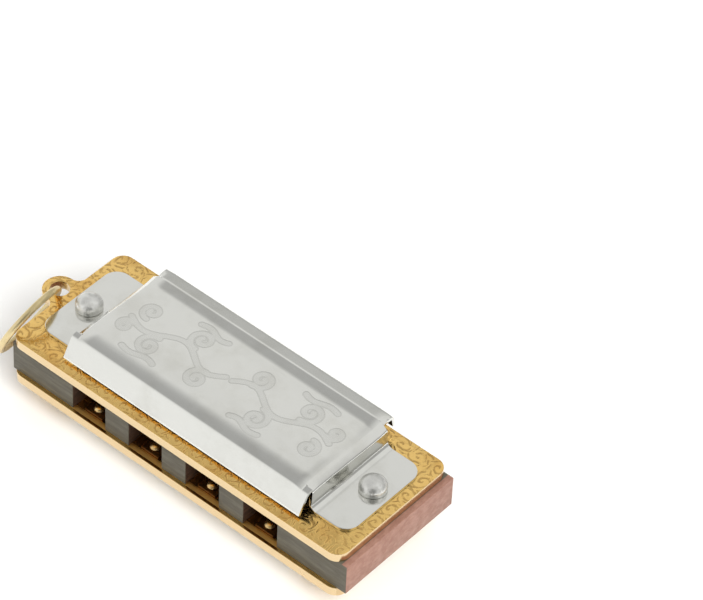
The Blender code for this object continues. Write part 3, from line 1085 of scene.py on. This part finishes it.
@dataclass
class Flourish:
    """The engraved flourish on a cover: two mirrored sprays of curling vine strokes (mm)."""

    span: float = 10.2
    reach: float = 1.0

    def curl(self, centre: Point2, start: float, turns: float, outer: float, inner: float) -> np.ndarray:
        """Sample one curl that winds inwards.

        Args:
            centre: The curl's middle.
            start: Angle of its outer end in degrees.
            turns: Turns, negative for clockwise.
            outer: Radius at its outer end.
            inner: Radius at its inner end.

        Returns:
            Points of the curl.
        """
        t = np.linspace(0.0, 1.0, 150)
        angle = math.radians(start) + math.tau * turns * t
        radius = outer + (inner - outer) * t ** 0.8
        return np.stack([centre[0] + radius * np.cos(angle), centre[1] + radius * np.sin(angle)], axis=1)

    def stem(self, start: Point2, end: Point2, swing: float, waves: float) -> np.ndarray:
        """Sample one waving stem.

        Args:
            start: Its first point.
            end: Its last point.
            swing: How far it swings to each side.
            waves: How many waves it makes.

        Returns:
            Points of the stem.
        """
        t = np.linspace(0.0, 1.0, 260)
        y = start[1] + (end[1] - start[1]) * t + swing * np.sin(math.tau * waves * t) * (1.0 - 0.35 * t)
        return np.stack([start[0] + (end[0] - start[0]) * t, y], axis=1)

    def strokes(self) -> np.ndarray:
        """Sample every stroke of the flourish.

        Returns:
            Points of the strokes, one (x, y) a row.
        """
        spray = np.vstack([
            self.stem((0.3, 0.0), (self.span, 0.1), 0.85, 1.5),
            self.curl((1.9, 1.75), 262.0, 1.4, 1.05, 0.22),
            self.curl((4.3, -1.75), 98.0, -1.4, 1.15, 0.22),
            self.curl((7.0, 1.65), 262.0, 1.4, 1.15, 0.22),
            self.curl((9.3, -1.35), 100.0, -1.3, 0.95, 0.20),
            self.curl((9.9, 1.25), 240.0, 1.2, 0.75, 0.18),
            self.stem((2.6, -2.9), (5.6, -3.0), 0.25, 1.0),
            self.stem((5.4, 2.95), (8.6, 3.0), -0.22, 1.0),
        ])
        return np.vstack([spray, -spray])

    def distance(self, x: np.ndarray, y: np.ndarray) -> np.ndarray:
        """Measure how far points lie from the nearest stroke.

        Args:
            x: Points' X.
            y: Points' Y.

        Returns:
            The distances, none over the reach.
        """
        best = np.full(x.shape, self.reach)
        for chunk in np.array_split(self.strokes(), 40):
            gaps = np.hypot(x[:, None] - chunk[None, :, 0], y[:, None] - chunk[None, :, 1])
            best = np.minimum(best, gaps.min(axis=1))
        return best


@dataclass
class StampedCover:
    """A cover stamped from sheet: crowned panel, front flange, rear lip, end walls and tabs (mm)."""

    level: Level
    layout: ReedLayout
    sheet: float = 0.25
    height: float = 2.30
    top_half: float = 11.6
    strip_front: float = 4.13
    strip_rear: float = 4.60
    tab_half: float = 4.50
    slit: float = 0.05
    flange_half: float = 12.3
    lip_half: float = 12.1
    join_x: float = 11.66
    dish: float = 0.145
    front_turn: float = -3.75
    shoulder: tuple = (-4.74, -0.215)
    flange_end: tuple = (-5.72, 0.30)
    valley_y: float = 3.72
    crest: tuple = (4.62, 0.01)
    lip: tuple = (5.84, -0.17)
    lip_end: tuple = (6.04, 1.00)
    pinch: float = 0.30
    pinch_from: Point2 = (11.3, 5.4)
    pinch_run: Point2 = (0.7, 0.9)
    panel: Point2 = (-1.6, 2.9)
    front_radii: tuple = (5.4, 0.75)
    rear_radii: tuple = (2.2, 0.64, 0.31)
    end_turn: float = 11.05
    ridge_in: tuple = (11.72, -0.09)
    ridge: tuple = (12.30, -0.56)
    wall_foot_x: float = 12.50
    end_radii: tuple = (5.5, 0.6, 0.30, 0.62)
    tab_start: float = 13.1
    tab_end: float = 16.2
    tab_corner: float = 1.3
    grid: float = 0.135
    rim: float = 0.05

    def end_path(self) -> list[Vector]:
        """Return the path of one end in (x, z): crowned ridge, wall, then tab."""
        inner, ridge = ((x, self.height + z) for x, z in (self.ridge_in, self.ridge))
        points = [(self.top_half - 1.4, self.height), (self.end_turn, self.height), inner, ridge,
                  (self.wall_foot_x, self.sheet), (self.tab_start, self.sheet)]
        path = filleted(points, self.end_radii, 9)[1:-1]
        start = self.tab_end - self.tab_corner
        path += [Vector((x, self.sheet)) for x in np.linspace(self.tab_start, start, 12)]
        path += [Vector((start + self.tab_corner * math.sin(math.radians(9.0 * k)), self.sheet))
                 for k in range(1, 11)]
        return path

    def section(self) -> list[Vector]:
        """Return the cross-section in (y, z) from the flange's edge over the panel to the lip's edge."""
        high, low = self.height, self.height - self.dish
        start, end = self.panel
        shoulder, crest, lip = ((y, high + z) for y, z in (self.shoulder, self.crest, self.lip))
        front = filleted([(start, high), (self.front_turn, high), shoulder, self.flange_end],
                         self.front_radii, 12)
        rear = filleted([(end, low), (self.valley_y, low), crest, lip, self.lip_end], self.rear_radii, 9)
        flange = [front[-2].lerp(front[-1], k / 6) for k in range(6, 0, -1)]
        middle = [Vector((y, high - self.dish * smooth((y - start) / (end - start))))
                  for y in np.linspace(start, end, round((end - start) / self.grid) + 1)]
        return flange + front[-2:0:-1] + middle + rear[1:]

    def rows(self) -> tuple[list[Vector], int, int]:
        """Split the cross-section into grid rows, with rows on the strip's two edges and beside them.

        Returns:
            The rows, and the numbers of the first and last row of the strip.
        """
        section = self.section()
        spaced = [section[0]]
        for point in section[1:]:
            gap = (point - spaced[-1]).length
            steps = max(1, round(gap / self.grid))
            base = spaced[-1].copy()
            spaced += [base.lerp(point, k / steps) for k in range(1, steps + 1)]
        front, rear = self.strip_front, self.strip_rear
        edges = (-front - self.slit, -front, rear, rear + self.slit)
        kept = [p for p in spaced if min(abs(p.x - e) for e in edges) > 0.03]
        for edge in edges:
            after = next(k for k, p in enumerate(kept) if p.x > edge)
            low, high = kept[after - 1], kept[after]
            kept.insert(after, low.lerp(high, (edge - low.x) / (high.x - low.x)))
        first, last = (min(range(len(kept)), key=lambda k: abs(kept[k].x - e)) for e in edges[1:3])
        return kept, first, last

    def strip_reach(self, x: float, full: float) -> float:
        """Give how far the end strip reaches to one side.

        Args:
            x: Distance from the middle of the cover.
            full: Its reach to that side at the ridge.

        Returns:
            The reach there.
        """
        if x <= self.ridge[0]:
            return full
        if x < self.wall_foot_x:
            share = (x - self.ridge[0]) / (self.wall_foot_x - self.ridge[0])
            return full + (self.tab_half - full) * share
        past = max(x - (self.tab_end - self.tab_corner), 0.0)
        return self.tab_half - self.tab_corner + math.sqrt(max(self.tab_corner ** 2 - past ** 2, 0.0))

    def columns(self) -> list[tuple[int, Vector]]:
        """List the grid's columns, each with its end and its (x, z) on the end path.

        Returns:
            Pairs of the end, -1, 0 or 1, and the point.
        """
        ends = self.end_path()
        start = ends[0].x
        flat = np.linspace(-start, start, round(2 * start / self.grid) + 1)
        left = [(-1, p) for p in reversed(ends[1:])]
        middle = [(0, Vector((x, self.height))) for x in flat]
        return left + middle + [(1, p) for p in ends[1:]]

    def folded(self, column: tuple[int, Vector], row: Vector, in_strip: bool) -> Vector:
        """Give the folded place of one grid point.

        Args:
            column: The column's end and end-path point.
            row: The row's point on the cross-section.
            in_strip: Whether the row belongs to the strip.

        Returns:
            The point on the folded cover.
        """
        side, (x, z) = column
        fall = self.height - z
        if side == 0:
            return Vector((x, row.x, row.y))
        if in_strip:
            keep = max(0.0, (z - self.sheet) / (self.height - self.sheet))
            full = self.strip_front if row.x < 0 else self.strip_rear
            wide = row.x * self.strip_reach(x, full) / full
            return Vector((side * x, wide, z - (self.height - row.y) * keep))
        low = self.flange_end[1] if row.x < 0 else self.lip_end[1]
        keep = max(0.0, (row.y - low) / (self.height - low)) ** 2
        if x > self.join_x:
            fall = self.height - self.join_z
        pinch = 0.0
        if row.x > 0:
            pinch = self.pinch * smooth((x - self.pinch_from[0]) / self.pinch_run[0])
            pinch *= smooth((self.pinch_from[1] - row.x) / self.pinch_run[1])
        return Vector((side * x, row.x, row.y - fall * keep - pinch))

    @property
    def join_z(self) -> float:
        """Height of the end path where the flange and lip leave the strip."""
        return next(p.y for p in self.end_path() if p.x >= self.join_x)

    def blank(self) -> bmesh.types.BMesh:
        """Fold a flat grid into the cover's outer surface, middle of its plan at the origin.

        Returns:
            The open surface, facing up.
        """
        columns = self.columns()
        rows, first, last = self.rows()
        bm = bmesh.new()
        bmesh.ops.create_grid(bm, x_segments=len(columns) - 1, y_segments=len(rows) - 1, size=1.0)
        place = {}
        for vert in bm.verts:
            place[vert] = (round((vert.co.x + 1) / 2 * (len(columns) - 1)),
                           round((vert.co.y + 1) / 2 * (len(rows) - 1)))
        doomed = []
        for face in bm.faces:
            cells = [place[v] for v in face.verts]
            j = min(c[1] for c in cells)
            far = max(abs(columns[c[0]][1].x) for c in cells)
            if j < first or j >= last:
                limit = self.flange_half if j < first else self.lip_half
                slit = j in (first - 1, last) and far > self.join_x
                if slit or far > limit:
                    doomed.append(face)
        bmesh.ops.delete(bm, geom=doomed, context="FACES")
        for vert in bm.verts:
            i, j = place[vert]
            vert.co = self.folded(columns[i], rows[j], first <= j <= last)
        return bm

    def pierce(self, bm: bmesh.types.BMesh, centre: Point2) -> None:
        """Open a round nail hole in a tab.

        Args:
            bm: The open surface.
            centre: The hole's middle.
        """
        middle = Vector((*centre, self.sheet))
        gone = [f for f in bm.faces if (f.calc_center_median() - middle).length < self.layout.nail_hole]
        ring = {v for f in gone for v in f.verts}
        bmesh.ops.delete(bm, geom=gone, context="FACES")
        for vert in ring:
            if vert.is_valid:
                vert.co = middle + (vert.co - middle).normalized() * self.layout.nail_hole

    def build(self, plating: bpy.types.Material, inside: bpy.types.Material,
              flourish: Flourish) -> bpy.types.Object:
        """Make the cover.

        Args:
            plating: The cover's outer finish.
            inside: Dark grey of its inner face, painted shade for the shadow inside the cover.
            flourish: The engraving.

        Returns:
            The cover.
        """
        node = f"{self.level.value}_cover"
        low, high = box_mm(node)
        shift_y = low.y - self.flange_end[0]
        mirror = 1 if self.level is Level.UPPER else -1
        bm = self.blank()
        for x, y in self.layout.nails:
            self.pierce(bm, (mirror * x, y - shift_y))
        bmesh.ops.recalc_face_normals(bm, faces=bm.faces)
        if sum(face.normal.z for face in bm.faces) < 0:
            bmesh.ops.reverse_faces(bm, faces=bm.faces)
        layer = bm.verts.layers.float.new("stroke")
        panel = [v for v in bm.verts if abs(v.co.x) < self.top_half and abs(v.co.y) < self.strip_front]
        gaps = flourish.distance(np.array([v.co.x for v in panel]), np.array([v.co.y for v in panel]))
        for vert in bm.verts:
            vert[layer] = flourish.reach
        for vert, gap in zip(panel, gaps):
            vert[layer] = float(gap)
        base = low.z
        if self.level is Level.LOWER:
            turn(bm, "Y")
            base = high.z
        shift(bm, 0, shift_y, base)
        cover = finish_piece(f"{node}_stamped", bm, [plating, inside], [node], sharp=60.0)
        wall = cover.modifiers.new("sheet", "SOLIDIFY")
        wall.thickness, wall.offset, wall.use_even_offset = self.sheet * MM, -1.0, True
        # Inner faces take the second material: dark grey painted shade.
        wall.material_offset = 1
        rim = cover.modifiers.new("rim", "BEVEL")
        rim.width, rim.segments, rim.limit_method = self.rim * MM, 2, "ANGLE"
        rim.angle_limit = math.radians(60.0)
        settle_modifiers(cover)
        cover.data.shade_smooth()
        return cover


def grey(light: float, blue: float) -> Colour:
    """Give a linear grey with its own blue."""
    return light, light, blue, 1.0


@dataclass
class Studio:
    """Pale floor, soft lights and the camera (mm for the view, metres for the set)."""

    azimuth: float = 38.73
    elevation: float = 45.18
    roll: float = 3.08
    distance: float = 331.4
    sensor: float = 36.0
    lens: float = 36.0 * 4251.7 / 703.0
    centre: Point2 = (9.688, 7.804)
    plate_top: float = 7.02
    floor_half: float = 1.5
    walls: Colour = grey(0.81, 0.795)
    ceiling: Colour = grey(0.44, 0.435)
    front_wall: Colour = grey(0.98, 0.965)
    back_wall: Colour = grey(0.5, 0.49)
    opening: Colour = grey(0.22, 0.21)
    low_side: Colour = grey(0.42, 0.41)

    def camera(self) -> None:
        """Place the camera and make it the scene's."""
        a, e, r = (math.radians(v) for v in (self.azimuth, self.elevation, self.roll))
        back = Vector((math.sin(a) * math.cos(e), -math.cos(a) * math.cos(e), math.sin(e)))
        right = Vector((math.cos(a), math.sin(a), 0.0))
        up = back.cross(right)
        right, up = right * math.cos(r) + up * math.sin(r), up * math.cos(r) - right * math.sin(r)
        data = bpy.data.cameras.new("view")
        data.sensor_width, data.lens = self.sensor, self.lens
        data.clip_start, data.clip_end = 0.01, 20.0
        camera = put_in_scene("view", data)
        facing = Matrix((right, up, back)).transposed().to_4x4()
        spot = right * self.centre[0] + up * self.centre[1] + back * self.distance
        camera.matrix_world = Matrix.Translation((spot + Vector((0, 0, self.plate_top))) * MM) @ facing
        bpy.context.scene.camera = camera

    def floor(self) -> None:
        """Lay the plain pale floor."""
        bm = bmesh.new()
        bmesh.ops.create_grid(bm, x_segments=4, y_segments=4, size=self.floor_half)
        mesh = bpy.data.meshes.new("floor")
        bm.to_mesh(mesh)
        bm.free()
        made = Material("floor_paper")
        grain = made.noise(made.place, 60.0, 4.0)
        made.set("Base Color", made.mix(grain, rgba(250, 250, 249), rgba(247, 247, 246)))
        made.set("Roughness", 0.9)
        mesh.materials.append(made.block)
        put_in_scene("floor", mesh)

    def light(self, name: str, way: Sequence[float], distance: float, size: float, power: float) -> None:
        """Hang one soft square light that faces the instrument and that the bright metal does not mirror.

        Args:
            name: The light's name.
            way: Direction from the instrument to the light.
            distance: How far away it hangs.
            size: Its side.
            power: Its power in watts.
        """
        data = bpy.data.lights.new(name, "AREA")
        data.size, data.energy = size, power
        lamp = put_in_scene(name, data)
        lamp.visible_glossy = False
        spot = Vector(way).normalized() * distance
        lamp.matrix_world = Matrix.Translation(spot) @ spot.to_track_quat("Z", "Y").to_matrix().to_4x4()

    def surroundings(self) -> None:
        """Surround the set with a soft room: bright walls, a darker ceiling and back, one dark opening."""
        world = bpy.data.worlds.new("soft_room")
        bpy.context.scene.world = world
        world.use_nodes = True
        room = NodeBoard(world.node_tree)
        way = room.add("ShaderNodeTexCoord").outputs["Generated"]
        x, y, z = room.split(way)
        level = room.math("SQRT", room.less(1.001, room.times(z, z)))
        ahead = room.math("DIVIDE", room.along(way, (0.625, -0.78, 0.0)), level)
        doorway = room.times(room.ramp(ahead, 0.72, 0.92), room.ramp(z, 0.82, 0.66))
        hatch = room.ramp(room.along(way, (0.441, -0.55, 0.709)), 0.86, 0.95)
        tone = self.walls
        for mask, colour in (
                (room.times(room.ramp(z, 0.72, 0.87), room.ramp(x, -0.12, -0.36)), self.ceiling),
                (room.ramp(y, -0.3, -0.75), self.front_wall),
                (room.times(room.ramp(y, 0.56, 0.72), room.ramp(z, 0.66, 0.5)), self.back_wall),
                (room.most(hatch, doorway), self.opening),
                (room.ramp(room.along(way, (0.79, 0.55, 0.27)), 0.93, 0.98), self.low_side)):
            tone = room.mix(mask, tone, colour)
        room.feed(world.node_tree.nodes["Background"].inputs["Color"], tone)

    def build(self) -> None:
        """Set up the floor, surroundings, lights and camera."""
        bpy.context.scene.view_settings.view_transform = "Standard"
        self.camera()
        self.floor()
        self.surroundings()
        self.light("key_soft", (0.75, -0.45, 0.95), distance=0.8, size=0.45, power=5.5)
        self.light("side_fill", (0.9, -0.1, 0.5), distance=0.9, size=0.5, power=1.2)


FINISHES = {
    "plating": BrightPlate(),
    "engraved": EngravedBrass(),
    "plain_brass": EngravedBrass(name="plain_brass", engraved=False),
    # Reeds toned dark brown: painted shade for the reeds inside the chambers and under the covers.
    "reed_brass": PlainMetal("reed_brass_painted_shade", rgba(128, 90, 52), rgba(74, 49, 28), 0.42, 0.35),
    "rivet_brass": PlainMetal("rivet_brass_pressed", rgba(226, 196, 140), rgba(150, 104, 56), 0.25, 0.25),
    "steel": PlainMetal("nail_steel_plated", rgba(240, 240, 237), rgba(172, 170, 164), 0.30, 0.3, 2400.0),
    "wire": PlainMetal("wire_brass_pale", rgba(230, 211, 164), rgba(184, 158, 110), 0.34, 0.2, 1500.0),
    # Dark grey inner faces of the covers: painted shade for the shadow inside them.
    "inner_painted_shade": PlainMetal("cover_inside_painted_shade", rgba(112, 110, 102), rgba(70, 68, 62), 0.5, 0.4),
    "wood_front": CombWood("comb_sealed", rgba(99, 94, 80), rgba(84, 79, 67), (260.0, 2600.0, 2600.0),
                           rgba(58, 52, 42), 0.35),
    "wood_end": CombWood("comb_end_grain", rgba(162, 122, 106), rgba(147, 107, 92),
                         (2600.0, 1500.0, 2200.0), rgba(122, 78, 60), 0.25),
    # Chamber walls: dark brown wood with darker random patches, painted shade inside the chambers.
    "wood_chamber": CombWood("comb_chamber_painted_shade", rgba(78, 54, 42), rgba(48, 33, 24), (700.0, 400.0, 2600.0),
                             rgba(28, 20, 14), 0.5),
}


class Harmonica:
    """The whole instrument, built sub-assembly by sub-assembly."""

    def __init__(self) -> None:
        """Mix the finishes, note the shared sizes and lay out the upper reed plate."""
        effects = SharedEffects()
        self.finish = {name: kind.material(effects) for name, kind in FINISHES.items()}
        self.layout = ReedLayout()
        self.upper_plate = ReedPlate(self.layout, Level.UPPER, ReedBank.DRAW)

    def build_body(self) -> None:
        """Make the comb and the two reed plates."""
        wood = (self.finish[f"wood_{face}"] for face in ("front", "end", "chamber"))
        Comb(self.layout).build(*wood)
        self.upper_plate.build(self.finish["engraved"])
        ReedPlate(self.layout, Level.LOWER, ReedBank.BLOW).build(self.finish["plain_brass"])

    def build_reeds(self) -> None:
        """Make every reed and its rivet."""
        for bank in ReedBank:
            for number in range(1, self.layout.count + 1):
                Reed(self.layout, bank, number).build(self.finish["reed_brass"])
                Rivet(bank, number).build(self.finish["rivet_brass"])

    def build_covers(self) -> None:
        """Make both covers and their nails."""
        for level in Level:
            cover = StampedCover(level, self.layout)
            cover.build(self.finish["plating"], self.finish["inner_painted_shade"], Flourish())
            for side in Side:
                CoverNail(level, side).build(self.finish["steel"])

    def build_ring(self) -> None:
        """Make the jump ring in the upper plate's ear."""
        low, high = box_mm("upper_reed_plate")
        pivot = Vector((low.x + self.upper_plate.ear_radius, 0.0, (low.z + high.z) / 2))
        JumpRing().build(self.finish["wire"], pivot)


def main() -> None:
    """Build the instrument and its set."""
    logging.basicConfig(level=logging.INFO, format="%(name)s %(message)s")
    Studio().build()
    harmonica = Harmonica()
    harmonica.build_body()
    harmonica.build_reeds()
    harmonica.build_covers()
    harmonica.build_ring()


if __name__ == "__main__":
    main()
